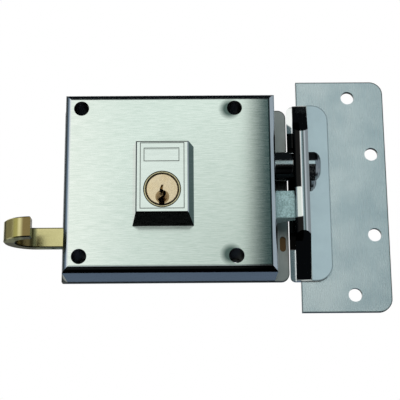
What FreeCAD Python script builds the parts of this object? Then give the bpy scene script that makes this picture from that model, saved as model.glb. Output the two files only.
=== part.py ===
import FreeCAD, Part
import math
import os

# Double cylinder rim lock with its strike, door closed, bolt and latch thrown.
# Units are millimetres. The door face is the plane Y = 0, the room is on -Y, Z is up,
# and the strike is on +X. The origin is the centre of the four case screw holes.

V = FreeCAD.Vector

# Fits and gaps
RUN_GAP = 0.05
SLIDE_GAP = 0.10
FREE_GAP = 0.40
EPS = 1.0

# Case cover and base plate
COVER_LEFT = -44.3
COVER_WIDTH = 100.0
COVER_HEIGHT = 86.6
COVER_DEPTH = 28.5
SHEET = 1.5
BEND_R = 3.2
PLATE_T = 2.0
PLATE_LEFT = -47.3
PLATE_RIGHT = 62.9
PLATE_MARGIN = 0.3
PLATE_HEIGHT = COVER_HEIGHT + 2 * PLATE_MARGIN
PLATE_CORNER_R = 4.0
PLATE_LEFT_CORNER_R = 0.8
PLATE_SCREW_R = 2.5
EDGE_SLOT_X = 60.0
EDGE_SLOT_Z = -25.0
EDGE_SLOT_DEPTH = 1.2
EDGE_SLOT_W = 3.0
EDGE_SLOT_L = 7.5

# Case screws
SCREW_INSET_X = 13.5
SCREW_INSET_Z = 7.3
SCREW_DX = COVER_WIDTH - 2 * SCREW_INSET_X
SCREW_DZ = COVER_HEIGHT - 2 * SCREW_INSET_Z
SCREW_R = 3.6
SLEEVE_R = 4.4
SLEEVE_CHAMFER = 0.5

# Cylinder axis, shared by both cylinders and the pinion
AXIS_X = 2.5
AXIS_Z = -8.65
INNER_R = 8.4
INNER_PLUG_R = 7.2
INNER_FACE_Y = -45.5
RING_GAP = 0.6
RING_DEPTH = 0.8
INNER_BACK_Y = -18.6
HOUSING_W = 9.0
HOUSING_TOP_Z = 10.0
HOUSING_FRONT_Y = -43.0
FLANGE_T = 1.5
FLANGE_CORNER_R = 2.0
FLANGE_MARGIN = 0.3

# Bezel block
BEZEL_Z = -2.65
BEZEL_FRONT_W = 24.0
BEZEL_FRONT_H = 33.7
BEZEL_BASE_W = 28.7
BEZEL_BASE_H = 38.4
BORDER_W = 20.3
BORDER_H = 31.2
BORDER_Z = -2.15
BORDER_LINE = 0.35
FIELD_W = 16.3
FIELD_H = 6.5
FIELD_X = 2.2
FIELD_Z = 7.7
FIELD_RIM = 0.6
RELIEF = 0.45
BEZEL_CHAMFER = 0.5
BEZEL_SCREW_DX = 18.6
BEZEL_SCREW_LOW_Z = -17.2
BEZEL_SCREW_HIGH_Z = 9.8
BEZEL_SCREW_R = 1.5
BEZEL_SCREW_L = 5.5
BEZEL_HEAD_R = 2.6
BEZEL_HEAD_T = 1.6
BEZEL_HEAD_CONE = 0.4
DRIVER_SLOT_W = 0.7
DRIVER_SLOT_DEPTH = 0.6

# Keyways and pins, measured from the cylinder axis
KEYWAY_TOP = 2.05
KEYWAY_DISH_R = 3.5
KEYWAY_DISH_DEPTH = 0.9
KEYWAY_DISH_Z = -3.85
PIN_R = 1.2
PIN_TIP_R = 0.4
PIN_SHORTEST = 0.7
PIN_STEP = 0.4
PIN_SHEAR_GAP = 0.15
PIN_FIRST_INSET = 6.0
PIN_BORE_END = 2.0
PIN_BORE_START = 0.4
PIN_PITCH = 4.0
PIN_COUNT = 5
DRIVER_L = 4.2

# Rack and pinion: one turn of the pinion throws the bolt by its pitch circle
TEETH = 7
MODULE = 1.0
PRESSURE = math.radians(25.0)
PINION_TIP_R = 4.4
PINION_ROOT_R = 2.65
RACK_ADDENDUM = 0.6
RACK_DEDENDUM = 1.1
BACKLASH = 0.15
RACK_TEETH = 9
PITCH_R = TEETH * MODULE / 2.0
PITCH = math.pi * MODULE
THROW = TEETH * PITCH
HUB_R = 5.0
HUB_FRONT_Y = -16.5
HUB_BACK_Y = -5.5
TONGUE_T = 2.5
TAIL_T = 2.0
TONGUE_W = 8.0
SLOT_GAP = 0.25

# Bolt and its carriage
BOLT_R = 7.0
BOLT_Y = -14.5
BOLT_Z = 10.7
BOLT_TIP_X = 77.9
BOLT_TAIL_X = 31.7
BOLT_END_R = 2.0
CARRIAGE_FRONT_Y = -13.0
CARRIAGE_BACK_Y = -9.0
CARRIAGE_LEFT = -4.3
CARRIAGE_RIGHT = 39.7
CARRIAGE_TOP_Z = 15.0
CARRIAGE_STEP_X = 27.7
CARRIAGE_STEP_Z = -2.4
GUIDE_X = 1.7
GUIDE_Z = 11.0
GUIDE_R = 1.8
GUIDE_HEAD_R = 3.2
GUIDE_HEAD_T = 1.4
RIVET_R = 1.4
RIVET_HEAD_R = 2.4
RIVET_HEAD_T = 0.9
RIVET_DEPTH = 4.5
CARRIAGE_RIVET_DROP = 3.4
CARRIAGE_RIVET_RISE = 2.0

# Latch, link and pull bar
LATCH_TRAVEL = 13.5
LATCH_TAIL_X = 43.2
LATCH_NOSE_X = 69.4
LATCH_FRONT_Y = -20.5
LATCH_BACK_Y = -8.5
LATCH_LOW_Z = -16.3
LATCH_HIGH_Z = -3.0
LATCH_BEVEL_X = 57.0
LATCH_NOSE_T = 2.4
LATCH_NOSE_R = 0.9
LATCH_EDGE_R = 0.4
LATCH_RIVET_INSET_X = 3.4
LATCH_RIVET_HALF = 2.6
LINK_T = 3.0
LINK_RIGHT = 49.9
LINK_LEFT = 22.5
LINK_SHOULDER_X = 33.0
LINK_TOP_INSET = 4.0
LINK_NECK = 1.0
LINK_CORNER = 1.6
BAR_T = 5.5
BAR_H = 9.6
BAR_Z = -24.3
BAR_RIGHT = 43.4
BAR_RIVET_LEFT_X = 27.0
BAR_RIVET_RIGHT_X = 38.0
HOOK_X = -57.5
HOOK_R = 14.25
BAR_HOLE_X = -49.9
BAR_HOLE_R = 0.9
BAR_EDGE_R = 0.5
POST_X = 47.4
POST_Z = -25.5
POST_R = 2.5
POST_TENON_R = 1.15

# Latch spring
SPRING_R = 3.0
SPRING_WIRE_R = 0.45
SPRING_Y = -10.0
SPRING_INSET_Z = 8.3
SPRING_Z = SPRING_INSET_Z - COVER_HEIGHT / 2
SPRING_LEFT = -14.3
SPRING_RIGHT = 26.7
SPRING_COILS = 9
SPRING_STATIONS = 14
SPRING_SIDES = 6
ROD_R = 1.25
ROD_END_X = -17.0
LUG_T = 3.0
LUG_HALF = 3.2
LUG_STEM = 4.0
ANCHOR_T = 2.0
ANCHOR_FOOT = 7.0

# Guide block behind the bolt side wall
BLOCK_LEFT = 50.2
BLOCK_RIGHT = 53.9
BLOCK_LOW_Z = -20.5
BLOCK_HIGH_Z = 21.5
BLOCK_FRONT_Y = -25.0
BLOCK_SCREW_R = 1.0
BLOCK_SCREW_L = 7.5
BLOCK_SCREW_SPARE = 0.5
BLOCK_SCREW_INSET = 2.0

# Outer cylinder, through the door
DOOR_T = 38.0
OUTER_R = 13.0
OUTER_HEAD_R = 15.5
OUTER_HEAD_T = 3.0
OUTER_PLUG_R = 7.0
ROSETTE_R = 19.0
ROSETTE_T = 4.0
TAIL_HOLE_R = 6.0
OUTER_SCREW_DX = 10.4
OUTER_SCREW_R = 1.75
OUTER_SCREW_L = 14.0
OUTER_SCREW_HEAD_R = 2.9
OUTER_SCREW_HEAD_T = 2.0
OUTER_SLOT_DEPTH = 0.8
OUTER_SLOT_W = 0.8
BEARING_R = 7.2
BEARING_T = 1.5
BEARING_END_R = 4.0
CLIP_T = 1.1
CLIP_DEPTH = 0.8
CLIP_PROUD = 1.0

# Strike plate and keeper on the door frame
STRIKE_LEFT = 68.4
STRIKE_RIGHT = 112.0
STRIKE_Z = -0.2
STRIKE_HEIGHT = 117.0
STRIKE_T = 2.5
KEEPER_SEAT = 0.2
STRIKE_CORNER_R = 6.5
STRIKE_HOLE_R = 3.3
OUTER_HOLE_X = 94.3
OUTER_HOLE_INSET = 8.4
INNER_HOLE_X = 105.0
INNER_HOLE_DZ = 41.0
OUTER_HOLE_DZ = STRIKE_HEIGHT - 2 * OUTER_HOLE_INSET
KEEPER_RIGHT = 83.7
KEEPER_Z = 0.9
KEEPER_HEIGHT = 89.0
KEEPER_T = 2.0
KEEPER_CORNER_R = 8.0
LIP_LEFT = 63.4
LIP_T = 1.8
LIP_EDGE_T = 1.1
LIP_CORNER_R = 2.5
CROWN_LEFT = 66.2
CROWN_RIGHT = 73.6
CROWN_R = 17.5
WALL_LEFT = 67.7
WALL_T = 4.0
WALL_FRONT_Y = -25.5
WALL_TOP_INSET = 18.2
WALL_FOOT_INSET = 0.5
WALL_CORNER = 2.0
FOOT_RIGHT = 73.2
BROW_LEFT_DROP = 2.3
BROW_RIGHT_DROP = 1.6
WEB_LEFT = 66.1
BROW_LEFT = 64.4
BROW_T = 3.4
WEB_T = 2.6
TROUGH_LEFT = 63.9
TROUGH_FLOOR_Y = -0.6
TROUGH_TOP_INSET = 21.4
TROUGH_LOW_INSET = 15.6
KEEPER_BOLT_R = 7.5
KEEPER_LATCH_GAP = 0.6
KEEPER_RIVET_X = 77.0
KEEPER_RIVET_INSET = 5.6
KEEPER_RIVET_L = 3.7
KEEPER_RIVET_DZ = KEEPER_HEIGHT - 2 * KEEPER_RIVET_INSET

# Values that follow from the ones above
COVER_RIGHT = COVER_LEFT + COVER_WIDTH
COVER_BACK_Y = -PLATE_T
COVER_FRONT_Y = -COVER_DEPTH
COVER_IN_Y = COVER_FRONT_Y + SHEET
PITCH_LINE_Z = AXIS_Z + PITCH_R
BAR_BACK_Y = -11.5
BAR_FRONT_Y = BAR_BACK_Y - BAR_T
LINK_BACK_Y = BAR_BACK_Y + LINK_T
OUTER_FACE_Y = DOOR_T + ROSETTE_T + OUTER_HEAD_T
KEEPER_FRONT_Y = -STRIKE_T - KEEPER_T


def box(x0, x1, y0, y1, z0, z1):
    return Part.makeBox(x1 - x0, y1 - y0, z1 - z0, V(x0, y0, z0))


def rod_x(x0, x1, y, z, r):
    return Part.makeCylinder(r, x1 - x0, V(x0, y, z), V(1, 0, 0))


def rod_y(x, z, r, y0, y1):
    return Part.makeCylinder(r, y1 - y0, V(x, y0, z), V(0, 1, 0))


def rod_z(x, y, r, z0, z1):
    return Part.makeCylinder(r, z1 - z0, V(x, y, z0), V(0, 0, 1))


def cone_y(x, z, r0, r1, y0, y1):
    return Part.makeCone(r0, r1, y1 - y0, V(x, y0, z), V(0, 1, 0))


def face_of(points):
    return Part.Face(Part.makePolygon(points + points[:1]))


def plate_xz(points, y0, y1):
    return face_of([V(x, y0, z) for x, z in points]).extrude(V(0, y1 - y0, 0))


def plate_yz(points, x0, x1):
    return face_of([V(x0, y, z) for y, z in points]).extrude(V(x1 - x0, 0, 0))


def plate_xy(points, z0, z1):
    return face_of([V(x, y, z0) for x, y in points]).extrude(V(0, 0, z1 - z0))


def edges_where(shape, test):
    return [edge for edge in shape.Edges if test(edge.BoundBox)]


def along_y(b):
    return b.XLength < 1e-6 and b.ZLength < 1e-6


def round_y_edges(shape, radius, test=lambda b: True):
    return shape.makeFillet(radius, edges_where(shape, lambda b: along_y(b) and test(b)))


def fuse_all(shapes):
    whole = shapes[0]
    for shape in shapes[1:]:
        whole = whole.fuse(shape)
    return whole.removeSplitter()


def cut_all(shape, tools):
    for tool in tools:
        shape = shape.cut(tool)
    return shape


def save(name, shapes):
    if not isinstance(shapes, list):
        shapes = [shapes]
    solids = [solid for shape in shapes for solid in shape.Solids]
    body = solids[0] if len(solids) == 1 else Part.makeCompound(solids)
    body.exportStep("parts/" + name + ".step")
    print(name, len(solids), "solid", "valid" if body.isValid() else "NOT VALID")


def case_screw_points():
    return [(sx * SCREW_DX / 2, sz * SCREW_DZ / 2) for sx in (-1, 1) for sz in (-1, 1)]


def bezel_screw_points():
    return [(AXIS_X + s * BEZEL_SCREW_DX / 2, z) for s in (-1, 1)
            for z in (BEZEL_SCREW_LOW_Z, BEZEL_SCREW_HIGH_Z)]


def outer_screw_points():
    return [(AXIS_X + s * OUTER_SCREW_DX, AXIS_Z) for s in (-1, 1)]


def edge_slot_points():
    return [(EDGE_SLOT_X, EDGE_SLOT_Z)]


def strike_hole_points():
    outer = [(OUTER_HOLE_X, STRIKE_Z + s * OUTER_HOLE_DZ / 2) for s in (-1, 1)]
    inner = [(INNER_HOLE_X, STRIKE_Z + s * INNER_HOLE_DZ / 2) for s in (-1, 1)]
    return outer + inner


def keeper_rivet_points():
    return [(KEEPER_RIVET_X, KEEPER_Z + s * KEEPER_RIVET_DZ / 2) for s in (-1, 1)]


def folded_box(inset, bend):
    shell = box(COVER_LEFT + inset, COVER_RIGHT - inset, COVER_FRONT_Y + inset, COVER_BACK_Y + inset,
                -COVER_HEIGHT / 2 + inset, COVER_HEIGHT / 2 - inset)
    front = COVER_FRONT_Y + inset
    return shell.makeFillet(bend, edges_where(shell, lambda b: abs(b.YMax - front) < 1e-6))


def cylinder_profile(gap, y0, y1, housing_y0):
    barrel = rod_y(AXIS_X, AXIS_Z, INNER_R + gap, y0, y1)
    half = HOUSING_W / 2 + gap
    housing = box(AXIS_X - half, AXIS_X + half, housing_y0, y1, AXIS_Z, HOUSING_TOP_Z + gap)
    return fuse_all([barrel, housing])


def make_cover():
    cover = folded_box(0.0, BEND_R).cut(folded_box(SHEET, BEND_R - SHEET))
    tools = [rod_y(x, z, SCREW_R, COVER_FRONT_Y - EPS, COVER_IN_Y + EPS) for x, z in case_screw_points()]
    tools += [rod_y(x, z, BEZEL_SCREW_R + SLIDE_GAP, COVER_FRONT_Y - EPS, COVER_IN_Y + EPS)
              for x, z in bezel_screw_points()]
    tools.append(cylinder_profile(2 * SLIDE_GAP, COVER_FRONT_Y - EPS, COVER_IN_Y + EPS, COVER_FRONT_Y - EPS))
    tools.append(rod_y(POST_X, POST_Z, POST_TENON_R, COVER_FRONT_Y - EPS, COVER_IN_Y + EPS))
    wall = COVER_RIGHT - SHEET - EPS
    tools.append(rod_x(wall, COVER_RIGHT + EPS, BOLT_Y, BOLT_Z, BOLT_R + FREE_GAP))
    tools.append(box(wall, COVER_RIGHT + EPS, LATCH_FRONT_Y - FREE_GAP, LATCH_BACK_Y + FREE_GAP,
                     LATCH_LOW_Z - FREE_GAP, LATCH_HIGH_Z + FREE_GAP))
    tools.append(box(COVER_LEFT - EPS, COVER_LEFT + SHEET + EPS, BAR_FRONT_Y - FREE_GAP, BAR_BACK_Y + FREE_GAP,
                     BAR_Z - BAR_H / 2 - FREE_GAP, BAR_Z + BAR_H / 2 + FREE_GAP))
    return cut_all(cover, tools)


def make_base_plate():
    plate = box(PLATE_LEFT, PLATE_RIGHT, -PLATE_T, 0, -PLATE_HEIGHT / 2, PLATE_HEIGHT / 2)
    plate = round_y_edges(plate, PLATE_CORNER_R, lambda b: b.XMin > 0)
    plate = round_y_edges(plate, PLATE_LEFT_CORNER_R, lambda b: b.XMax < 0)
    low, high = -PLATE_T - EPS, EPS
    tools = [rod_y(x, z, PLATE_SCREW_R, low, high) for x, z in case_screw_points()]
    tools += [rod_y(x, z, OUTER_SCREW_R + SLIDE_GAP, low, high) for x, z in outer_screw_points()]
    tools += [rod_y(x, z, BLOCK_SCREW_R, low, high) for x, z in block_screw_points()]
    tools.append(rod_y(AXIS_X, AXIS_Z, TAIL_HOLE_R, low, high))
    tools += [rod_y(x, z, POST_TENON_R, low, high) for x, z in ((POST_X, POST_Z), (GUIDE_X, GUIDE_Z),
                                                                anchor_rivet_point())]
    straight = (EDGE_SLOT_L - EDGE_SLOT_W) / 2
    floor = -PLATE_T + EDGE_SLOT_DEPTH
    for x, z in edge_slot_points():
        tools.append(box(x - EDGE_SLOT_W / 2, x + EDGE_SLOT_W / 2, low, floor, z - straight, z + straight))
        tools += [rod_y(x, z + s * straight, EDGE_SLOT_W / 2, low, floor) for s in (-1, 1)]
    return cut_all(plate, tools)


def groove(x, z, w, h, line, y0, y1):
    outer = box(x - w / 2, x + w / 2, y0, y1, z - h / 2, z + h / 2)
    inner = box(x - w / 2 + line, x + w / 2 - line, y0 - EPS, y1 + EPS, z - h / 2 + line, z + h / 2 - line)
    return outer.cut(inner)


def make_bezel():
    base_w, base_h, front_w, front_h = (size / 2 for size in (BEZEL_BASE_W, BEZEL_BASE_H,
                                                              BEZEL_FRONT_W, BEZEL_FRONT_H))
    block = Part.makeWedge(AXIS_X - front_w, INNER_FACE_Y, BEZEL_Z - front_h, BEZEL_Z - base_h, AXIS_X - base_w,
                           AXIS_X + front_w, COVER_FRONT_Y, BEZEL_Z + front_h, BEZEL_Z + base_h, AXIS_X + base_w)
    block = block.makeChamfer(BEZEL_CHAMFER, edges_where(block, lambda b: b.YMax < INNER_FACE_Y + 1e-6))
    front, floor = INNER_FACE_Y - EPS, INNER_FACE_Y + RELIEF
    half_w, half_h = FIELD_W / 2 - FIELD_RIM, FIELD_H / 2 - FIELD_RIM
    tools = [groove(AXIS_X, BORDER_Z, BORDER_W, BORDER_H, BORDER_LINE, front, floor),
             groove(FIELD_X, FIELD_Z, FIELD_W, FIELD_H, BORDER_LINE, front, floor),
             box(FIELD_X - half_w, FIELD_X + half_w, front, INNER_FACE_Y + RELIEF / 2,
                 FIELD_Z - half_h, FIELD_Z + half_h),
             cylinder_profile(2 * SLIDE_GAP, INNER_FACE_Y - EPS, COVER_FRONT_Y + EPS, HOUSING_FRONT_Y - SLIDE_GAP)]
    tools += [rod_y(x, z, BEZEL_SCREW_R, COVER_FRONT_Y - BEZEL_SCREW_L - SLIDE_GAP, COVER_FRONT_Y + EPS)
              for x, z in bezel_screw_points()]
    return cut_all(block, tools)


def make_bezel_screws():
    back = COVER_IN_Y + FLANGE_T
    screws = []
    for x, z in bezel_screw_points():
        shank = rod_y(x, z, BEZEL_SCREW_R, COVER_FRONT_Y - BEZEL_SCREW_L, back)
        head = cone_y(x, z, BEZEL_HEAD_R, BEZEL_HEAD_R - BEZEL_HEAD_CONE, back, back + BEZEL_HEAD_T)
        slot = box(x - BEZEL_HEAD_R, x + BEZEL_HEAD_R, back + BEZEL_HEAD_T - DRIVER_SLOT_DEPTH, back + BEZEL_HEAD_T + EPS,
                   z - DRIVER_SLOT_W / 2, z + DRIVER_SLOT_W / 2)
        screws.append(fuse_all([shank, head]).cut(slot))
    return screws


def pin_centres(first_y, step):
    return [first_y + step * PIN_PITCH * index for index in range(PIN_COUNT)]


def keyway(y0, y1, flip):
    low = -9.0
    right = [(0.65, KEYWAY_TOP), (0.3, 0.3), (0.45, -0.6), (1.3, -0.75), (1.75, -1.4), (1.75, -2.5), (1.15, -3.2),
             (1.15, low)]
    left = [(-1.45, low), (-1.45, -4.0), (-0.5, -3.3), (0.35, -2.6), (0.35, -1.9), (-0.5, -1.6), (-1.3, -1.5),
            (-1.0, 0.3), (-0.35, KEYWAY_TOP)]
    return plate_xz([(AXIS_X + flip * x, AXIS_Z + z) for x, z in right + left], y0, y1)


def pin_bore(y, r, low, high):
    return rod_z(AXIS_X, y, r, AXIS_Z + low, AXIS_Z + high)


def key_pins(centres, plug_r):
    pins = []
    for index, y in enumerate(centres):
        low = PIN_SHORTEST + PIN_STEP * ((2 * index) % 3)
        body = pin_bore(y, PIN_R, low + PIN_R / 2, plug_r - PIN_SHEAR_GAP)
        tip = Part.makeCone(PIN_TIP_R, PIN_R, PIN_R / 2, V(AXIS_X, y, AXIS_Z + low), V(0, 0, 1))
        pins.append(fuse_all([body, tip]))
    return pins


def driver_pins(centres, plug_r, length):
    return [pin_bore(y, PIN_R, plug_r + SLIDE_GAP, plug_r + SLIDE_GAP + length) for y in centres]


INNER_PINS = pin_centres(INNER_FACE_Y + PIN_FIRST_INSET, 1)
OUTER_PINS = pin_centres(OUTER_FACE_Y - PIN_FIRST_INSET, -1)


def make_inner_cylinder():
    body = cylinder_profile(0.0, INNER_FACE_Y, INNER_BACK_Y, HOUSING_FRONT_Y)
    margin = BEZEL_HEAD_R - FLANGE_MARGIN
    low_z = BEZEL_SCREW_LOW_Z - margin
    flange = box(AXIS_X - BEZEL_FRONT_W / 2, AXIS_X + BEZEL_FRONT_W / 2, COVER_IN_Y, COVER_IN_Y + FLANGE_T,
                 low_z, BEZEL_SCREW_HIGH_Z + margin)
    flange = round_y_edges(flange, FLANGE_CORNER_R)
    body = fuse_all([body, flange])
    rim = edges_where(body, lambda b: b.YMax < INNER_FACE_Y + 1e-6)
    body = body.makeChamfer(0.25, rim)
    tools = [rod_y(AXIS_X, AXIS_Z, INNER_PLUG_R + RUN_GAP, INNER_FACE_Y - EPS, INNER_BACK_Y + EPS),
             rod_y(AXIS_X, AXIS_Z, INNER_PLUG_R + RING_GAP, INNER_FACE_Y - EPS, INNER_FACE_Y + RING_DEPTH)]
    tools += [rod_y(x, z, BEZEL_SCREW_R + SLIDE_GAP, COVER_IN_Y - EPS, COVER_IN_Y + FLANGE_T + EPS)
              for x, z in bezel_screw_points()]
    tools += [pin_bore(y, PIN_R + RUN_GAP, 0, HOUSING_TOP_Z - AXIS_Z - PIN_BORE_END) for y in INNER_PINS]
    return cut_all(body, tools)


def plug_bores(centres, plug_r):
    return [pin_bore(y, PIN_R + RUN_GAP, PIN_BORE_START, plug_r + EPS) for y in centres]


def clip_ring(plug_r, y0):
    outer = rod_y(AXIS_X, AXIS_Z, plug_r + CLIP_PROUD, y0, y0 + CLIP_T)
    inner = rod_y(AXIS_X, AXIS_Z, plug_r - CLIP_DEPTH, y0 - EPS, y0 + CLIP_T + EPS)
    gap = box(AXIS_X - 2.0, AXIS_X + 2.0, y0 - EPS, y0 + CLIP_T + EPS, AXIS_Z - 2 * plug_r, AXIS_Z)
    return outer.cut(inner).cut(gap)


def clip_groove(plug_r, y0):
    outer = rod_y(AXIS_X, AXIS_Z, plug_r + 2 * CLIP_PROUD, y0, y0 + CLIP_T)
    inner = rod_y(AXIS_X, AXIS_Z, plug_r - CLIP_DEPTH, y0 - EPS, y0 + CLIP_T + EPS)
    return outer.cut(inner)


def tongue(thickness, y0, y1, gap):
    return box(AXIS_X - thickness / 2 - gap, AXIS_X + thickness / 2 + gap, y0, y1,
               AXIS_Z - TONGUE_W / 2 - gap, AXIS_Z + TONGUE_W / 2 + gap)


INNER_CLIP_Y = INNER_BACK_Y + SLIDE_GAP
INNER_PLUG_END_Y = HUB_FRONT_Y - FREE_GAP
OUTER_CLIP_Y = 1.8
OUTER_PLUG_END_Y = 1.0


def make_inner_plug():
    plug = rod_y(AXIS_X, AXIS_Z, INNER_PLUG_R, INNER_FACE_Y, INNER_PLUG_END_Y)
    plug = plug.makeChamfer(0.3, edges_where(plug, lambda b: b.YMax < INNER_FACE_Y + 1e-6))
    tools = [keyway(INNER_FACE_Y - EPS, INNER_BACK_Y - 2.0, 1), clip_groove(INNER_PLUG_R, INNER_CLIP_Y)]
    tools.append(cone_y(AXIS_X, AXIS_Z + KEYWAY_DISH_Z, KEYWAY_DISH_R, KEYWAY_DISH_R / 3, INNER_FACE_Y - EPS,
                        INNER_FACE_Y + KEYWAY_DISH_DEPTH))
    tools += plug_bores(INNER_PINS, INNER_PLUG_R)
    plug = cut_all(plug, tools)
    return fuse_all([plug, tongue(TONGUE_T, INNER_PLUG_END_Y - EPS, CARRIAGE_FRONT_Y - 0.6, 0.0)])


def gear_outline():
    base_r = PITCH_R * math.cos(PRESSURE)
    inv = math.tan(PRESSURE) - PRESSURE
    flank = []
    for step in range(7):
        r = base_r + (PINION_TIP_R - base_r) * step / 6
        roll = math.acos(base_r / r)
        flank.append((r, math.pi / (2 * TEETH) + inv - (math.tan(roll) - roll)))
    root = (PINION_ROOT_R, flank[0][1])
    side = [root] + flank
    points = []
    for tooth in range(TEETH):
        mid = math.pi / 2 - tooth * 2 * math.pi / TEETH
        points += [(r, mid + a) for r, a in side] + [(r, mid - a) for r, a in reversed(side)]
    return [(AXIS_X + r * math.cos(a), AXIS_Z + r * math.sin(a)) for r, a in points]


def make_pinion():
    gear_front = CARRIAGE_FRONT_Y - 0.2
    gear_back = CARRIAGE_BACK_Y + 0.2
    gear = plate_xz(gear_outline(), gear_front, gear_back)
    front = rod_y(AXIS_X, AXIS_Z, HUB_R, HUB_FRONT_Y, gear_front)
    back = rod_y(AXIS_X, AXIS_Z, HUB_R, gear_back, HUB_BACK_Y)
    pinion = fuse_all([front, gear, back])
    front_slot = tongue(TONGUE_T, HUB_FRONT_Y - EPS, gear_front, SLOT_GAP)
    back_slot = tongue(TAIL_T, gear_back, HUB_BACK_Y + EPS, SLOT_GAP)
    return cut_all(pinion, [front_slot, back_slot])


def make_pinion_bearing():
    front = CARRIAGE_BACK_Y + FREE_GAP
    back = -PLATE_T
    ring = rod_y(AXIS_X, AXIS_Z, BEARING_R, front, back)
    flange = box(AXIS_X - OUTER_SCREW_DX, AXIS_X + OUTER_SCREW_DX, back - BEARING_T, back,
                 AXIS_Z - BEARING_END_R, AXIS_Z + BEARING_END_R)
    ends = [rod_y(x, z, BEARING_END_R, back - BEARING_T, back) for x, z in outer_screw_points()]
    bearing = fuse_all([ring, flange] + ends)
    tools = [rod_y(AXIS_X, AXIS_Z, HUB_R + RUN_GAP, front - EPS, back + EPS)]
    tools += [rod_y(x, z, OUTER_SCREW_R + SLIDE_GAP, front - EPS, back + EPS) for x, z in outer_screw_points()]
    return cut_all(bearing, tools)


def make_outer_screws():
    seat = -PLATE_T - BEARING_T
    screws = []
    for x, z in outer_screw_points():
        shank = rod_y(x, z, OUTER_SCREW_R, seat - EPS, OUTER_SCREW_L)
        head = rod_y(x, z, OUTER_SCREW_HEAD_R, seat - OUTER_SCREW_HEAD_T, seat)
        slot = box(x - OUTER_SCREW_HEAD_R, x + OUTER_SCREW_HEAD_R, seat - OUTER_SCREW_HEAD_T - EPS,
                   seat - OUTER_SCREW_HEAD_T + OUTER_SLOT_DEPTH, z - OUTER_SLOT_W / 2, z + OUTER_SLOT_W / 2)
        screws.append(fuse_all([shank, head]).cut(slot))
    return screws


def make_outer_cylinder():
    barrel = rod_y(AXIS_X, AXIS_Z, OUTER_R, 0, DOOR_T + ROSETTE_T)
    head = rod_y(AXIS_X, AXIS_Z, OUTER_HEAD_R, DOOR_T + ROSETTE_T, OUTER_FACE_Y)
    head = head.makeChamfer(0.8, edges_where(head, lambda b: b.YMin > OUTER_FACE_Y - 1e-6))
    body = fuse_all([barrel, head])
    tools = [rod_y(AXIS_X, AXIS_Z, OUTER_PLUG_R + RUN_GAP, -EPS, OUTER_FACE_Y + EPS)]
    tools.append(rod_y(AXIS_X, AXIS_Z, OUTER_PLUG_R + CLIP_PROUD + FREE_GAP, -EPS, OUTER_CLIP_Y + CLIP_T + SLIDE_GAP))
    tools += [rod_y(x, z, OUTER_SCREW_R, -EPS, OUTER_SCREW_L + EPS) for x, z in outer_screw_points()]
    tools += [pin_bore(y, PIN_R + RUN_GAP, 0, OUTER_R - 1.2) for y in OUTER_PINS]
    return cut_all(body, tools)


def make_outer_plug():
    plug = rod_y(AXIS_X, AXIS_Z, OUTER_PLUG_R, OUTER_PLUG_END_Y, OUTER_FACE_Y)
    plug = plug.makeChamfer(0.3, edges_where(plug, lambda b: b.YMin > OUTER_FACE_Y - 1e-6))
    tools = [keyway(OUTER_CLIP_Y + 10.0, OUTER_FACE_Y + EPS, -1), clip_groove(OUTER_PLUG_R, OUTER_CLIP_Y)]
    tools += plug_bores(OUTER_PINS, OUTER_PLUG_R)
    tools.append(tongue(TAIL_T, OUTER_PLUG_END_Y - EPS, OUTER_PLUG_END_Y + 6.0, 0.0))
    return cut_all(plug, tools)


def make_outer_tail_bar():
    return tongue(TAIL_T, CARRIAGE_BACK_Y + 0.6, OUTER_PLUG_END_Y + 6.0, 0.0)


def make_rosette():
    cone = cone_y(AXIS_X, AXIS_Z, ROSETTE_R, OUTER_HEAD_R + 1.0, DOOR_T, DOOR_T + ROSETTE_T)
    return cone.cut(rod_y(AXIS_X, AXIS_Z, OUTER_R + SLIDE_GAP, DOOR_T - EPS, DOOR_T + ROSETTE_T + EPS))


def make_sleeves():
    sleeves = []
    front = COVER_IN_Y + FREE_GAP - SLIDE_GAP
    for x, z in case_screw_points():
        tube = rod_y(x, z, SLEEVE_R, front, -PLATE_T)
        tube = tube.makeChamfer(SLEEVE_CHAMFER, edges_where(tube, lambda b: b.YMax < front + 1e-6))
        sleeves.append(tube.cut(rod_y(x, z, SCREW_R, COVER_IN_Y - EPS, -PLATE_T + EPS)))
    return sleeves


def block_screw_points():
    x = (BLOCK_LEFT + BLOCK_RIGHT) / 2
    return [(x, BLOCK_LOW_Z + BLOCK_SCREW_INSET), (x, BLOCK_HIGH_Z - BLOCK_SCREW_INSET)]


def make_bolt_guide():
    block = box(BLOCK_LEFT, BLOCK_RIGHT, BLOCK_FRONT_Y, -PLATE_T, BLOCK_LOW_Z, BLOCK_HIGH_Z)
    tools = [rod_x(BLOCK_LEFT - EPS, BLOCK_RIGHT + EPS, BOLT_Y, BOLT_Z, BOLT_R + SLIDE_GAP)]
    gap = FREE_GAP - SLIDE_GAP
    tools.append(box(BLOCK_LEFT - EPS, BLOCK_RIGHT + EPS, LATCH_FRONT_Y - gap, LATCH_BACK_Y + gap,
                     LATCH_LOW_Z - gap, LATCH_HIGH_Z + gap))
    tools += [rod_y(x, z, BLOCK_SCREW_R, -PLATE_T - BLOCK_SCREW_L - BLOCK_SCREW_SPARE, -PLATE_T + EPS)
              for x, z in block_screw_points()]
    return cut_all(block, tools)


def make_guide_screws():
    return [rod_y(x, z, BLOCK_SCREW_R, -PLATE_T - BLOCK_SCREW_L, 0) for x, z in block_screw_points()]


def make_spacer_post():
    post = rod_y(POST_X, POST_Z, POST_R, COVER_IN_Y, -PLATE_T)
    return fuse_all([post, rod_y(POST_X, POST_Z, POST_TENON_R, COVER_FRONT_Y, 0)])


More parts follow.
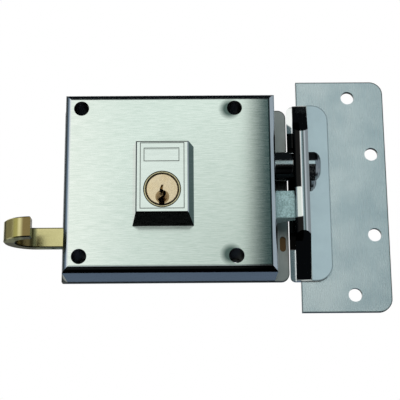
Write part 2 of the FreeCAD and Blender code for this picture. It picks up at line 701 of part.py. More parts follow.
def make_guide_post():
    head_y = CARRIAGE_FRONT_Y - FREE_GAP
    foot_y = CARRIAGE_BACK_Y + FREE_GAP
    return fuse_all([rod_y(GUIDE_X, GUIDE_Z, GUIDE_HEAD_R, head_y - GUIDE_HEAD_T, head_y),
                     rod_y(GUIDE_X, GUIDE_Z, GUIDE_R, head_y, foot_y),
                     rod_y(GUIDE_X, GUIDE_Z, GUIDE_HEAD_R, foot_y, -PLATE_T),
                     rod_y(GUIDE_X, GUIDE_Z, POST_TENON_R, -PLATE_T, 0)])


def make_deadbolt():
    bolt = rod_x(BOLT_TAIL_X, BOLT_TIP_X, BOLT_Y, BOLT_Z, BOLT_R)
    bolt = bolt.makeChamfer(BOLT_END_R, edges_where(bolt, lambda b: b.XMin > BOLT_TIP_X - 1e-6))
    bolt = bolt.makeChamfer(BOLT_END_R / 3, edges_where(bolt, lambda b: b.XLength < 1e-6
                                                        and b.XMin > BOLT_TIP_X - BOLT_END_R - 1e-6))
    flat = box(BOLT_TAIL_X - EPS, CARRIAGE_RIGHT + FREE_GAP, CARRIAGE_FRONT_Y, 0,
               BOLT_Z - 2 * BOLT_R, BOLT_Z + 2 * BOLT_R)
    return cut_all(bolt, [flat] + [rod_y(x, z, RIVET_R, CARRIAGE_FRONT_Y - RIVET_DEPTH, 0)
                             for x, z in carriage_rivet_points()])


def carriage_rivet_points():
    x = (BOLT_TAIL_X + CARRIAGE_RIGHT) / 2
    return [(x, BOLT_Z - CARRIAGE_RIVET_DROP), (x, BOLT_Z + CARRIAGE_RIVET_RISE)]


def make_carriage():
    root_z = PITCH_LINE_Z + RACK_DEDENDUM
    tip_z = PITCH_LINE_Z - RACK_ADDENDUM
    lean = math.tan(PRESSURE)
    half = PITCH / 4 - BACKLASH / 2
    tip = half - RACK_ADDENDUM * lean
    foot = half + RACK_DEDENDUM * lean
    points = [(CARRIAGE_LEFT, CARRIAGE_TOP_Z), (CARRIAGE_LEFT, root_z)]
    first = AXIS_X - PITCH / 2
    for tooth in range(RACK_TEETH):
        x = first + tooth * PITCH
        points += [(x - foot, root_z), (x - tip, tip_z), (x + tip, tip_z), (x + foot, root_z)]
    points += [(CARRIAGE_STEP_X, root_z), (CARRIAGE_STEP_X, CARRIAGE_STEP_Z), (CARRIAGE_RIGHT, CARRIAGE_STEP_Z),
               (CARRIAGE_RIGHT, CARRIAGE_TOP_Z)]
    plate = plate_xz(points, CARRIAGE_FRONT_Y, CARRIAGE_BACK_Y)
    low, high = CARRIAGE_FRONT_Y - EPS, CARRIAGE_BACK_Y + EPS
    slot_r = GUIDE_R + SLIDE_GAP
    right = GUIDE_X + THROW
    slot = [box(GUIDE_X, right, low, high, GUIDE_Z - slot_r, GUIDE_Z + slot_r),
            rod_y(GUIDE_X, GUIDE_Z, slot_r, low, high), rod_y(right, GUIDE_Z, slot_r, low, high)]
    holes = [rod_y(x, z, RIVET_R, low, high) for x, z in carriage_rivet_points()]
    return cut_all(plate, slot + holes)


def rivet(x, z, seat_y, tail_y):
    shank = rod_y(x, z, RIVET_R, tail_y, seat_y)
    head = cone_y(x, z, RIVET_HEAD_R, RIVET_R, seat_y, seat_y + RIVET_HEAD_T)
    return fuse_all([shank, head])


def make_carriage_rivets():
    return [rivet(x, z, CARRIAGE_BACK_Y, CARRIAGE_FRONT_Y - RIVET_DEPTH) for x, z in carriage_rivet_points()]


def latch_rivet_points():
    mid = (LATCH_LOW_Z + LATCH_HIGH_Z) / 2
    return [(LATCH_TAIL_X + LATCH_RIVET_INSET_X, mid + s * LATCH_RIVET_HALF) for s in (-1, 1)]


def bar_rivet_points():
    return [(BAR_RIVET_LEFT_X, BAR_Z), (BAR_RIVET_RIGHT_X, BAR_Z)]


def make_latch_head():
    nose_y = LATCH_FRONT_Y + LATCH_NOSE_T
    points = [(LATCH_TAIL_X, LATCH_FRONT_Y), (LATCH_NOSE_X, LATCH_FRONT_Y), (LATCH_NOSE_X, nose_y),
              (LATCH_BEVEL_X, LATCH_BACK_Y), (LINK_RIGHT + EPS, LATCH_BACK_Y), (LINK_RIGHT + EPS, BAR_BACK_Y),
              (LATCH_TAIL_X, BAR_BACK_Y)]
    head = plate_xy(points, LATCH_LOW_Z, LATCH_HIGH_Z)
    nose = edges_where(head, lambda b: b.XLength < 1e-6 and b.YLength < 1e-6 and b.XMin > LATCH_NOSE_X - 1e-6)
    head = head.makeFillet(LATCH_NOSE_R, nose)
    long_edges = edges_where(head, lambda b: b.YLength < 1e-6 and b.ZLength < 1e-6 and b.YMax < nose_y - 1.0)
    head = head.makeFillet(LATCH_EDGE_R, long_edges)
    return cut_all(head, [rod_y(x, z, RIVET_R, BAR_BACK_Y - RIVET_DEPTH, 0) for x, z in latch_rivet_points()])


def make_link():
    lug_left = SPRING_RIGHT
    top, lug_low = LATCH_HIGH_Z - LINK_TOP_INSET, SPRING_Z - LUG_HALF
    bar_top, bar_low = BAR_Z + BAR_H / 2, BAR_Z - BAR_H / 2
    points = [(LINK_RIGHT, top), (LINK_RIGHT, bar_top + LINK_NECK), (BAR_RIGHT, bar_top + LINK_NECK),
              (BAR_RIGHT, bar_low), (lug_left + LUG_STEM, bar_low), (lug_left + LUG_STEM, lug_low), (lug_left, lug_low),
              (lug_left, bar_low - LINK_NECK), (LINK_LEFT, bar_low + LINK_CORNER), (LINK_LEFT, bar_top - LINK_CORNER),
              (LINK_SHOULDER_X, top)]
    plate = plate_xz(points, BAR_BACK_Y, LINK_BACK_Y)
    lug = box(lug_left, lug_left + LUG_T, SPRING_Y - LUG_HALF, SPRING_Y + LUG_HALF,
              SPRING_Z - LUG_HALF, SPRING_Z + LUG_HALF)
    link = fuse_all([plate, lug])
    holes = [rod_y(x, z, RIVET_R, BAR_BACK_Y - EPS, 0) for x, z in latch_rivet_points() + bar_rivet_points()]
    holes.append(rod_x(lug_left - EPS, lug_left + LUG_T + 2 * EPS, SPRING_Y, SPRING_Z, ROD_R))
    return cut_all(link, holes)


def make_link_rivets():
    rivets = [rivet(x, z, LINK_BACK_Y, BAR_BACK_Y - RIVET_DEPTH) for x, z in latch_rivet_points()]
    return rivets + [rivet(x, z, LINK_BACK_Y, BAR_FRONT_Y) for x, z in bar_rivet_points()]


def make_pull_bar():
    low, high = BAR_Z - BAR_H / 2, BAR_Z + BAR_H / 2
    centre_y = BAR_BACK_Y - HOOK_R
    ring = rod_z(HOOK_X, centre_y, HOOK_R, low, high).cut(rod_z(HOOK_X, centre_y, HOOK_R - BAR_T, low, high))
    ring = ring.cut(box(HOOK_X, HOOK_X + 2 * HOOK_R, centre_y - 2 * HOOK_R, centre_y + 2 * HOOK_R, low, high))
    strip = box(HOOK_X, BAR_RIGHT, BAR_FRONT_Y, BAR_BACK_Y, low, high)
    bar = fuse_all([ring, strip])
    bar = bar.makeChamfer(BAR_EDGE_R, edges_where(bar, lambda b: b.ZLength < 1e-6 and b.XMax > HOOK_X - 1.0
                                                 or b.ZLength < 1e-6 and b.XLength > HOOK_R / 2))
    tools = [rod_z(BAR_HOLE_X, (BAR_FRONT_Y + BAR_BACK_Y) / 2, BAR_HOLE_R, low - EPS, high + EPS)]
    tools += [rod_y(x, z, RIVET_R, BAR_FRONT_Y - EPS, BAR_BACK_Y + EPS) for x, z in bar_rivet_points()]
    return cut_all(bar, tools)


def make_spring():
    length = SPRING_RIGHT - SPRING_LEFT
    run = length - 2 * SPRING_WIRE_R
    mean_r = SPRING_R - SPRING_WIRE_R
    sections = []
    for station in range(SPRING_COILS * SPRING_STATIONS + 1):
        turn = 2 * math.pi * station / SPRING_STATIONS
        x = SPRING_LEFT + SPRING_WIRE_R + run * station / (SPRING_COILS * SPRING_STATIONS)
        ring = []
        for side in range(SPRING_SIDES):
            angle = 2 * math.pi * (side + 0.5) / SPRING_SIDES
            r = mean_r + SPRING_WIRE_R * math.cos(angle)
            ring.append(V(x + SPRING_WIRE_R * math.sin(angle), SPRING_Y + r * math.cos(turn),
                          SPRING_Z + r * math.sin(turn)))
        sections.append(Part.makePolygon(ring + ring[:1]))
    return Part.makeLoft(sections, True, True)


def make_rod():
    return rod_x(ROD_END_X, SPRING_RIGHT + LUG_T, SPRING_Y, SPRING_Z, ROD_R)


def anchor_rivet_point():
    return (SPRING_LEFT + ANCHOR_FOOT / 2, SPRING_Z)


def make_anchor():
    upright = box(SPRING_LEFT - ANCHOR_T, SPRING_LEFT, SPRING_Y - LUG_HALF, -PLATE_T,
                  SPRING_Z - LUG_HALF, SPRING_Z + LUG_HALF)
    foot = box(SPRING_LEFT, SPRING_LEFT + ANCHOR_FOOT, -PLATE_T - SHEET, -PLATE_T,
               SPRING_Z - LUG_HALF, SPRING_Z + LUG_HALF)
    x, z = anchor_rivet_point()
    tenon = rod_y(x, z, POST_TENON_R, -PLATE_T, 0)
    hole = rod_x(SPRING_LEFT - 2 * ANCHOR_T, SPRING_LEFT + EPS, SPRING_Y, SPRING_Z, ROD_R + RUN_GAP)
    return fuse_all([upright, foot, tenon]).cut(hole)


def make_strike_plate():
    low, high = STRIKE_Z - STRIKE_HEIGHT / 2, STRIKE_Z + STRIKE_HEIGHT / 2
    plate = box(STRIKE_LEFT, STRIKE_RIGHT, -STRIKE_T, 0, low, high)
    plate = round_y_edges(plate, STRIKE_CORNER_R, lambda b: b.XMin > STRIKE_RIGHT - 1e-6)
    tools = [rod_y(x, z, STRIKE_HOLE_R, -STRIKE_T - EPS, EPS) for x, z in strike_hole_points()]
    tools += [rod_y(x, z, RIVET_R, -STRIKE_T - EPS, EPS) for x, z in keeper_rivet_points()]
    return cut_all(plate, tools)


def wall_outline(inset, front):
    back = -STRIKE_T - KEEPER_SEAT
    top = KEEPER_HEIGHT / 2 - WALL_TOP_INSET - inset
    foot = KEEPER_HEIGHT / 2 - WALL_FOOT_INSET - inset
    outline = [(back, foot), (KEEPER_FRONT_Y, foot), (front + WALL_CORNER, top), (front, top - WALL_CORNER)]
    return [(y, KEEPER_Z + z) for y, z in outline] + [(y, KEEPER_Z - z) for y, z in reversed(outline)]


def keeper_section():
    """Plan of the keeper plate: flat on the strike, crowned towards its left, then a thin lip at the door."""
    rise = CROWN_RIGHT - CROWN_LEFT
    crown_y = KEEPER_FRONT_Y + CROWN_R - math.sqrt(CROWN_R ** 2 - rise ** 2)
    mid_y = KEEPER_FRONT_Y + CROWN_R - math.sqrt(CROWN_R ** 2 - (rise / 2) ** 2)
    front = [V(KEEPER_RIGHT, KEEPER_FRONT_Y, 0), V(CROWN_RIGHT, KEEPER_FRONT_Y, 0)]
    crown = Part.Arc(front[1], V(CROWN_RIGHT - rise / 2, mid_y, 0), V(CROWN_LEFT, crown_y, 0))
    rest = [V(CROWN_LEFT, crown_y, 0), V(CROWN_LEFT, -LIP_T, 0), V(LIP_LEFT, -LIP_EDGE_T, 0), V(LIP_LEFT, 0, 0),
            V(STRIKE_LEFT, 0, 0), V(STRIKE_LEFT, -STRIKE_T, 0), V(KEEPER_RIGHT, -STRIKE_T, 0), front[0]]
    edges = [Part.makeLine(front[0], front[1]), crown.toShape()]
    edges += [Part.makeLine(a, b) for a, b in zip(rest, rest[1:])]
    return Part.Face(Part.Wire(edges))


def hood_plan(low, high):
    """Plan of the raised hood: wider at its foot, with a rounded front that overhangs the open side."""
    wall_right = WALL_LEFT + WALL_T
    left_y, right_y = WALL_FRONT_Y + BROW_LEFT_DROP, WALL_FRONT_Y + BROW_RIGHT_DROP
    start, end = V(BROW_LEFT, left_y, low), V(wall_right, right_y, low)
    brow = Part.Arc(start, V((BROW_LEFT + wall_right) / 2, WALL_FRONT_Y, low), end)
    rest = [end, V(FOOT_RIGHT, KEEPER_FRONT_Y, low), V(FOOT_RIGHT, 0, low), V(WEB_LEFT, 0, low),
            V(WEB_LEFT, KEEPER_FRONT_Y, low), start]
    edges = [brow.toShape()] + [Part.makeLine(a, b) for a, b in zip(rest, rest[1:])]
    return Part.Face(Part.Wire(edges)).extrude(V(0, 0, high - low))


def make_keeper():
    low, high = KEEPER_Z - KEEPER_HEIGHT / 2, KEEPER_Z + KEEPER_HEIGHT / 2
    section = keeper_section()
    section.translate(V(0, 0, low))
    plate = section.extrude(V(0, 0, high - low))
    plate = round_y_edges(plate, KEEPER_CORNER_R, lambda b: b.XMin > KEEPER_RIGHT - 1e-6)
    plate = round_y_edges(plate, LIP_CORNER_R, lambda b: b.XMax < LIP_LEFT + 1e-6)
    trough = plate_xy([(TROUGH_LEFT, -LIP_T), (TROUGH_LEFT, -LIP_EDGE_T), (WALL_LEFT, TROUGH_FLOOR_Y),
                       (WALL_LEFT, WALL_FRONT_Y), (TROUGH_LEFT, WALL_FRONT_Y)],
                      low + TROUGH_LOW_INSET, high - TROUGH_TOP_INSET)
    hood = plate_yz(wall_outline(0.0, WALL_FRONT_Y), BROW_LEFT - EPS, FOOT_RIGHT + EPS).common(hood_plan(low, high))
    hollow = plate_yz(wall_outline(WEB_T, WALL_FRONT_Y + BROW_T), BROW_LEFT - EPS, WALL_LEFT)
    hood = hood.cut(hollow)
    bolt_hole = rod_x(BROW_LEFT - EPS, FOOT_RIGHT + EPS, BOLT_Y, BOLT_Z, KEEPER_BOLT_R)
    window = box(BROW_LEFT - EPS, FOOT_RIGHT + EPS, LATCH_FRONT_Y - KEEPER_LATCH_GAP,
                 LATCH_BACK_Y + KEEPER_LATCH_GAP, LATCH_LOW_Z - KEEPER_LATCH_GAP, LATCH_HIGH_Z + KEEPER_LATCH_GAP)
    rivets = [rod_y(x, z, RIVET_R, -KEEPER_RIVET_L, EPS) for x, z in keeper_rivet_points()]
    return cut_all(fuse_all([plate.cut(trough), hood]), [bolt_hole, window] + rivets)


def make_keeper_rivets():
    return [rod_y(x, z, RIVET_R, -KEEPER_RIVET_L, 0) for x, z in keeper_rivet_points()]


os.makedirs("parts", exist_ok=True)
save("case_cover", make_cover())
save("base_plate", make_base_plate())
save("bezel", make_bezel())
save("bezel_screws", make_bezel_screws())
save("inner_cylinder", make_inner_cylinder())
save("inner_plug", make_inner_plug())
save("inner_plug_clip", clip_ring(INNER_PLUG_R, INNER_CLIP_Y))
save("inner_key_pins", key_pins(INNER_PINS, INNER_PLUG_R))
save("inner_driver_pins", driver_pins(INNER_PINS, INNER_PLUG_R, DRIVER_L))
save("drive_pinion", make_pinion())
save("pinion_bearing", make_pinion_bearing())
save("outer_cylinder", make_outer_cylinder())
save("outer_rosette", make_rosette())
save("outer_screws", make_outer_screws())
save("outer_plug", make_outer_plug())
save("outer_plug_clip", clip_ring(OUTER_PLUG_R, OUTER_CLIP_Y))
save("outer_tail_bar", make_outer_tail_bar())
save("outer_key_pins", key_pins(OUTER_PINS, OUTER_PLUG_R))
save("outer_driver_pins", driver_pins(OUTER_PINS, OUTER_PLUG_R, DRIVER_L))
save("screw_sleeves", make_sleeves())
save("bolt_guide", make_bolt_guide())
save("guide_screws", make_guide_screws())
save("spacer_post", make_spacer_post())
save("guide_post", make_guide_post())
save("deadbolt", make_deadbolt())
save("bolt_carriage", make_carriage())
save("carriage_rivets", make_carriage_rivets())
save("latch_head", make_latch_head())
save("latch_link", make_link())
save("link_rivets", make_link_rivets())
save("pull_bar", make_pull_bar())
save("latch_spring", make_spring())
save("spring_rod", make_rod())
save("spring_anchor", make_anchor())
save("strike_plate", make_strike_plate())
save("keeper", make_keeper())
save("keeper_rivets", make_keeper_rivets())
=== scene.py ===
import math
import bpy
from mathutils import Matrix, Vector

# A double cylinder rim lock with its strike, seen from the room side and a little from below.
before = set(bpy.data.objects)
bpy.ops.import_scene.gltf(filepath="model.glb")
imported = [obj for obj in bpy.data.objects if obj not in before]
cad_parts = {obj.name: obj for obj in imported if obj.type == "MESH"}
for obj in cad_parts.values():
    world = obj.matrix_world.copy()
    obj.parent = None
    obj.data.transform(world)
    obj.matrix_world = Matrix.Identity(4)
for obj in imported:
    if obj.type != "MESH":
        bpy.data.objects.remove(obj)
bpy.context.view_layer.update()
MM = 0.001


def add_node(tree, kind, **settings):
    node = tree.nodes.new(kind)
    for key, setting in settings.items():
        setattr(node, key, setting)
    return node


def feed(tree, socket, source):
    """Link another node's output to a socket, or set the socket where the source is a plain value."""
    if isinstance(source, bpy.types.NodeSocket):
        tree.links.new(source, socket)
    else:
        socket.default_value = source


def split_axes(tree, vector):
    node = add_node(tree, "ShaderNodeSeparateXYZ")
    tree.links.new(vector, node.inputs[0])
    return node.outputs


def stretched(tree, coords, scale):
    node = add_node(tree, "ShaderNodeMapping")
    node.inputs["Scale"].default_value = scale
    tree.links.new(coords, node.inputs["Vector"])
    return node.outputs["Vector"]


def noise(tree, vector, scale, detail, rough):
    node = add_node(tree, "ShaderNodeTexNoise")
    node.inputs["Scale"].default_value = scale
    node.inputs["Detail"].default_value = detail
    node.inputs["Roughness"].default_value = rough
    tree.links.new(vector, node.inputs["Vector"])
    return node.outputs["Fac"]


CLOUD_NOISE = (4.0, 0.6)


def clouds(tree, coords, scale):
    return noise(tree, coords, scale, *CLOUD_NOISE)


def spread(tree, source, low, high, out_low, out_high, **settings):
    node = add_node(tree, "ShaderNodeMapRange", **settings)
    for index, number in zip((1, 2, 3, 4), (low, high, out_low, out_high)):
        node.inputs[index].default_value = number
    tree.links.new(source, node.inputs[0])
    return node.outputs[0]


def calc(tree, operation, a, b=0.0):
    node = add_node(tree, "ShaderNodeMath", operation=operation)
    feed(tree, node.inputs[0], a)
    feed(tree, node.inputs[1], b)
    return node.outputs[0]


def vector_calc(tree, operation, a, b):
    node = add_node(tree, "ShaderNodeVectorMath", operation=operation)
    feed(tree, node.inputs[0], a)
    feed(tree, node.inputs[1], b)
    return node.outputs[0]


def length_of(tree, vector):
    node = add_node(tree, "ShaderNodeVectorMath", operation="LENGTH")
    tree.links.new(vector, node.inputs[0])
    return node.outputs["Value"]


def blend_colour(tree, factor, a, b):
    node = add_node(tree, "ShaderNodeMix", data_type="RGBA")
    tree.links.new(factor, node.inputs["Factor"])
    for socket, colour in ((node.inputs[6], a), (node.inputs[7], b)):
        feed(tree, socket, (*colour, 1.0) if isinstance(colour, tuple) else colour)
    return node.outputs[2]


def bumped(tree, height, distance, base=None):
    """The surface normal after a bump of this many mm, laid over an earlier bump where there is one."""
    node = add_node(tree, "ShaderNodeBump")
    node.inputs["Strength"].default_value = 1.0
    node.inputs["Distance"].default_value = distance * MM
    tree.links.new(height, node.inputs["Height"])
    if base:
        tree.links.new(base, node.inputs["Normal"])
    return node.outputs["Normal"]


def window(tree, source, edges):
    """One inside a band of the source, with a soft rise and fall between its two pairs of edges."""
    low0, low1, high0, high1 = edges
    rise = spread(tree, source, low0, low1, 0.0, 1.0, interpolation_type="SMOOTHSTEP")
    fall = spread(tree, source, high0, high1, 1.0, 0.0, interpolation_type="SMOOTHSTEP")
    return calc(tree, "MULTIPLY", rise, fall)


def inside_bands(tree, axes, bands):
    """One where X, Y and Z each lie inside their own band."""
    mask = None
    for axis, edges in zip("XYZ", bands):
        band = window(tree, axes[axis], edges)
        mask = band if mask is None else calc(tree, "MULTIPLY", mask, band)
    return mask


def inside_box(tree, axes, box, soft):
    """One inside a box in mm, falling off over the soft width outside it."""
    bands = [((low - soft) * MM, low * MM, high * MM, (high + soft) * MM) for low, high in box]
    return inside_bands(tree, axes, bands)


def near_outline(tree, axes, plate, width):
    """One along the outer edge of a plate: its centre X and Z, half width and height, corner radius."""
    x, z, half_x, half_z, corner = (number * MM for number in plate)
    squares = []
    for axis, centre, half in (("X", x, half_x), ("Z", z, half_z)):
        away = calc(tree, "ABSOLUTE", calc(tree, "SUBTRACT", axes[axis], centre))
        beyond = calc(tree, "MAXIMUM", calc(tree, "SUBTRACT", away, half - corner))
        squares.append(calc(tree, "POWER", beyond, 2.0))
    distance = calc(tree, "SQRT", calc(tree, "ADD", *squares))
    return spread(tree, distance, corner - width * MM, corner - width * 0.5 * MM, 0.0, 1.0)


def start(name, metallic=1.0):
    material = bpy.data.materials.new(name)
    material.use_nodes = True
    tree = material.node_tree
    shader = tree.nodes["Principled BSDF"]
    shader.inputs["Metallic"].default_value = metallic
    texture = tree.nodes.new("ShaderNodeTexCoord")
    return material, tree, shader, texture.outputs["Object"], texture.outputs["Normal"]


# Noise settings are the scale, the detail and the roughness. Ranges say which part of a noise is used.
GRAIN_NOISE = (10.0, 3.0, 0.7)
PIT_NOISE = (900.0, 5.0, 0.7)
STREAK_NOISE = (10.0, 3.0, 0.6)
LINE_RANGE = (0.25, 0.75)
CLOUD_RANGE = (0.35, 0.65)
# Narrow sides of a plate, where the painted edge shade goes: the normal's Y is near zero.
WALL_BAND = (-0.95, -0.85, 0.85, 0.95)


def metal(name, light, dark, rough, grain, grain_bump, grain_rough, cloud=40.0, metallic=1.0, pits=0.0,
          zones=(), outline=None, edge_shade=None):
    """A bare metal: cloudy tint, directional grain in bump and roughness, and pits for castings.

    The zones are boxes of painted shade or painted light. The edge colour is painted shade on a plate's
    narrow sides and along its outline.
    """
    material, tree, shader, coords, facing = start(name, metallic)
    axes = split_axes(tree, coords)
    lines = noise(tree, stretched(tree, coords, grain), *GRAIN_NOISE)
    tint = blend_colour(tree, spread(tree, clouds(tree, coords, cloud), *CLOUD_RANGE, 0.0, 1.0), light, dark)
    # Painted shade: a dark colour on the narrow sides and along the outline, in place of shadow and dark
    # reflection at the edges.
    if edge_shade:
        tint = blend_colour(tree, window(tree, split_axes(tree, facing)["Y"], WALL_BAND), tint, edge_shade)
        tint = blend_colour(tree, near_outline(tree, axes, *outline), tint, edge_shade)
    for box, soft, colour in zones:
        tint = blend_colour(tree, inside_box(tree, axes, box, soft), tint, colour)
    tree.links.new(tint, shader.inputs["Base Color"])
    smooth, coarse = rough - grain_rough / 2, rough + grain_rough / 2
    tree.links.new(spread(tree, lines, *LINE_RANGE, smooth, coarse), shader.inputs["Roughness"])
    normal = bumped(tree, lines, grain_bump)
    if pits:
        normal = bumped(tree, noise(tree, coords, *PIT_NOISE), pits, normal)
    tree.links.new(normal, shader.inputs["Normal"])
    return material


# The brushed front begins where the normal's Y passes these two values.
FRONT_RANGE = (-0.97, -0.995)
# Its streaks: how often they repeat along X, Y and Z, and their part in tone, roughness and bump (mm).
FINE_STREAKS = (30, 30, 520)
BROAD_STREAKS = (14, 14, 190)
STREAK_TONE_RANGE = (0.80, 1.20)
STREAK_ROUGH_RANGE = (0.7, 1.3)
STREAK_ROUGH = (0.06, 0.11)
STREAK_BUMP = 0.001
BRUSH_AXIS = (1.0, 0.02, 0.01)
# The polished sheet of the bends and walls: size of its clouds, and how dark they are.
SIDE_CLOUD = 30.0
SIDE_SHADE = 0.88
# Painted shade, chosen by the normal's X: on the right and the left bend.
RIGHT_BEND = (0.02, 0.05, 0.24, 0.34)
RIGHT_BEND_SHADE = (0.08, 0.12, 0.12)
LEFT_BEND = (-0.97, -0.90, -0.45, -0.30)
LEFT_BEND_SHADE = (0.14, 0.19, 0.26)
# Painted shade on the slopes that face down.
UNDER_SHADE = (0.015, 0.015, 0.015)
# Painted shade lies on the case's front face, at this Y in mm.
FRONT_Y = -26.5
SHADE_TINT = (0.06, 0.10, 0.09)
# Painted shade on the groove's floor, and half the depth over which it sets in, in mm.
GROOVE_SOFT = 0.05
GROOVE_SHADE = (0.10, 0.11, 0.10)


def brushed_front(name, light, dark, side, side_rough, under_edges, groove=None, shades=()):
    """Front faces are brushed along X; the bends and walls keep the rolled sheet's polish. Painted shade
    darkens places on the front, the slopes facing down, both bends and the groove's floor.
    """
    material, tree, shader, coords, facing = start(name)
    toward = split_axes(tree, facing)
    front = spread(tree, toward["Y"], *FRONT_RANGE, 0.0, 1.0)
    fine = noise(tree, stretched(tree, coords, FINE_STREAKS), *STREAK_NOISE)
    broad = noise(tree, stretched(tree, coords, BROAD_STREAKS), *STREAK_NOISE)
    lines = calc(tree, "ADD", fine, broad)
    brushed = blend_colour(tree, spread(tree, lines, *STREAK_TONE_RANGE, 0.0, 1.0), dark, light)
    cloudy = spread(tree, clouds(tree, coords, SIDE_CLOUD), *CLOUD_RANGE, 0.0, 1.0)
    polished = blend_colour(tree, cloudy, side, tuple(part * SIDE_SHADE for part in side))
    surface = blend_colour(tree, front, polished, brushed)
    # Painted shade on the front: a broad dark patch, and painted dark reflections beside two screw holes.
    for x, z, core, edge, strength in shades:
        away = vector_calc(tree, "SUBTRACT", coords, (x * MM, FRONT_Y * MM, z * MM))
        near = spread(tree, length_of(tree, away), edge * MM, core * MM, 0.0, strength)
        surface = blend_colour(tree, calc(tree, "MULTIPLY", near, front), surface, SHADE_TINT)
    # Painted shade on the slopes that face down.
    surface = blend_colour(tree, window(tree, toward["Z"], under_edges), surface, UNDER_SHADE)
    # Painted shade on the right and the left bend.
    surface = blend_colour(tree, window(tree, toward["X"], RIGHT_BEND), surface, RIGHT_BEND_SHADE)
    surface = blend_colour(tree, window(tree, toward["X"], LEFT_BEND), surface, LEFT_BEND_SHADE)
    # Painted shade on the floor of the groove.
    if groove:
        bottom, top = (groove - GROOVE_SOFT) * MM, (groove + GROOVE_SOFT) * MM
        deep = spread(tree, split_axes(tree, coords)["Y"], bottom, top, 0.0, 1.0)
        surface = blend_colour(tree, calc(tree, "MULTIPLY", deep, front), surface, GROOVE_SHADE)
    tree.links.new(surface, shader.inputs["Base Color"])
    rough = add_node(tree, "ShaderNodeMix", data_type="FLOAT")
    feed(tree, rough.inputs[0], front)
    feed(tree, rough.inputs[2], side_rough)
    feed(tree, rough.inputs[3], spread(tree, lines, *STREAK_ROUGH_RANGE, *STREAK_ROUGH))
    tree.links.new(rough.outputs[0], shader.inputs["Roughness"])
    tree.links.new(vector_calc(tree, "CROSS_PRODUCT", facing, BRUSH_AXIS), shader.inputs["Tangent"])
    shader.inputs["Anisotropic"].default_value = 1.0
    tree.links.new(bumped(tree, calc(tree, "MULTIPLY", lines, front), STREAK_BUMP), shader.inputs["Normal"])
    return material


# Turned faces: how often the lines repeat along X, Y and Z, their bump in mm and their roughness.
TURNING_LINES = (90, 9, 90)
TURNING_BUMP = 0.003
TURNING_ROUGH = 0.05
TURNED_CLOUD = 320.0
TURNED_CLOUD_RANGE = (0.3, 0.7)
# The darker disc at the keyway is fully toned inside this share of its radius.
DISH_CORE = 0.9


def turned_face(name, rings, light, dark, rough, dish=None):
    """A turned end face: tone by distance from the plug's axis with rings of painted shade, turning lines,
    and a darker disc at the keyway.
    """
    material, tree, shader, coords, _ = start(name)

    def radius(x, z):
        away = vector_calc(tree, "SUBTRACT", coords, (x * MM, 0.0, z * MM))
        return length_of(tree, vector_calc(tree, "MULTIPLY", away, (1.0, 0.0, 1.0)))

    distance = radius(*PLUG_AXIS)
    cloudy = spread(tree, clouds(tree, coords, TURNED_CLOUD), *TURNED_CLOUD_RANGE, 0.0, 1.0)
    tint = blend_colour(tree, cloudy, light, dark)
    for inner, outer, colour in rings:
        tint = blend_colour(tree, spread(tree, distance, inner * MM, outer * MM, 0.0, 1.0), tint, colour)
    if dish:
        x, z, edge, colour = dish
        keyway_disc = spread(tree, radius(x, z), edge * MM, edge * DISH_CORE * MM, 0.0, 1.0)
        tint = blend_colour(tree, keyway_disc, tint, colour)
    tree.links.new(tint, shader.inputs["Base Color"])
    turning = noise(tree, stretched(tree, coords, TURNING_LINES), *STREAK_NOISE)
    smooth, coarse = rough - TURNING_ROUGH, rough + TURNING_ROUGH
    tree.links.new(spread(tree, turning, *LINE_RANGE, smooth, coarse), shader.inputs["Roughness"])
    tree.links.new(bumped(tree, turning, TURNING_BUMP), shader.inputs["Normal"])
    return material


# All places below are in mm: X and Z of the axis that both plugs turn about, and Z of the bolt's axis.
PLUG_AXIS = (2.5, -8.65)
BOLT_AXIS_Z = 10.7

# Painted shade on the case front, a broad patch low on the right and dark reflections beside the right screw
# holes: X, Z, radius of the core and of the outer edge, and strength.
CASE_SHADES = (
    (42.0, -40.0, 6.0, 80.0, 0.30),
    (34.2, 35.4, 3.4, 5.9, 0.95),
    (34.0, -35.4, 3.4, 5.9, 0.95),
)
# The normal's Z of the slopes that face down and get painted shade. The case's flat bottom isn't one of
# them.
CASE_UNDER = (-0.99, -0.96, -0.30, -0.20)
BEZEL_UNDER = (-1.1, -1.05, -0.30, -0.20)
# The Y between the bezel's face and the floor of its sunk lines.
BEZEL_GROOVE_Y = -45.16

# Painted shade as dark lines along plate edges: the plate as in near_outline, then the width of the line.
STRIKE_OUTLINE = ((80.0, -0.2, 32.0, 58.5, 6.5), 0.55)
BASE_OUTLINE = ((7.8, 0.0, 55.1, 43.6, 4.0), 0.5)
KEEPER_OUTLINE = ((60.0, 0.9, 23.7, 44.5, 8.0), 0.55)

# Tinted places, mostly painted shade: a box of X, Y and Z ranges, the width of its soft edge, and the
# colour.
STRIKE_ZONES = (
    # The left edge, a painted dark shade line.
    (((68.0, 68.75), (-3.0, 0.5), (-60.0, 60.0)), 0.2, (0.20, 0.24, 0.25)),
)
BASE_ZONES = (
    # The floor of the slot.
    (((58.2, 61.8), (-1.5, 0.5), (-29.5, -20.5)), 0.15, (0.13, 0.075, 0.035)),
)
KEEPER_ZONES = (
    # Painted shade in the pocket under the hood and on the hood's edge above and below the latch, and a
    # painted light patch beside the latch.
    (((60.0, 67.8), (-22.3, 0.5), (-27.6, 31.6)), 0.15, (0.012, 0.012, 0.012)),
    (((60.0, 67.4), (-26.0, -22.2), (-2.2, 31.6)), 0.6, (0.01, 0.01, 0.01)),
    (((60.0, 67.9), (-26.0, -22.2), (-27.6, -17.0)), 0.6, (0.01, 0.01, 0.01)),
    (((60.0, 67.2), (-26.0, -22.2), (-16.6, -2.6)), 0.5, (0.60, 0.66, 0.64)),
)
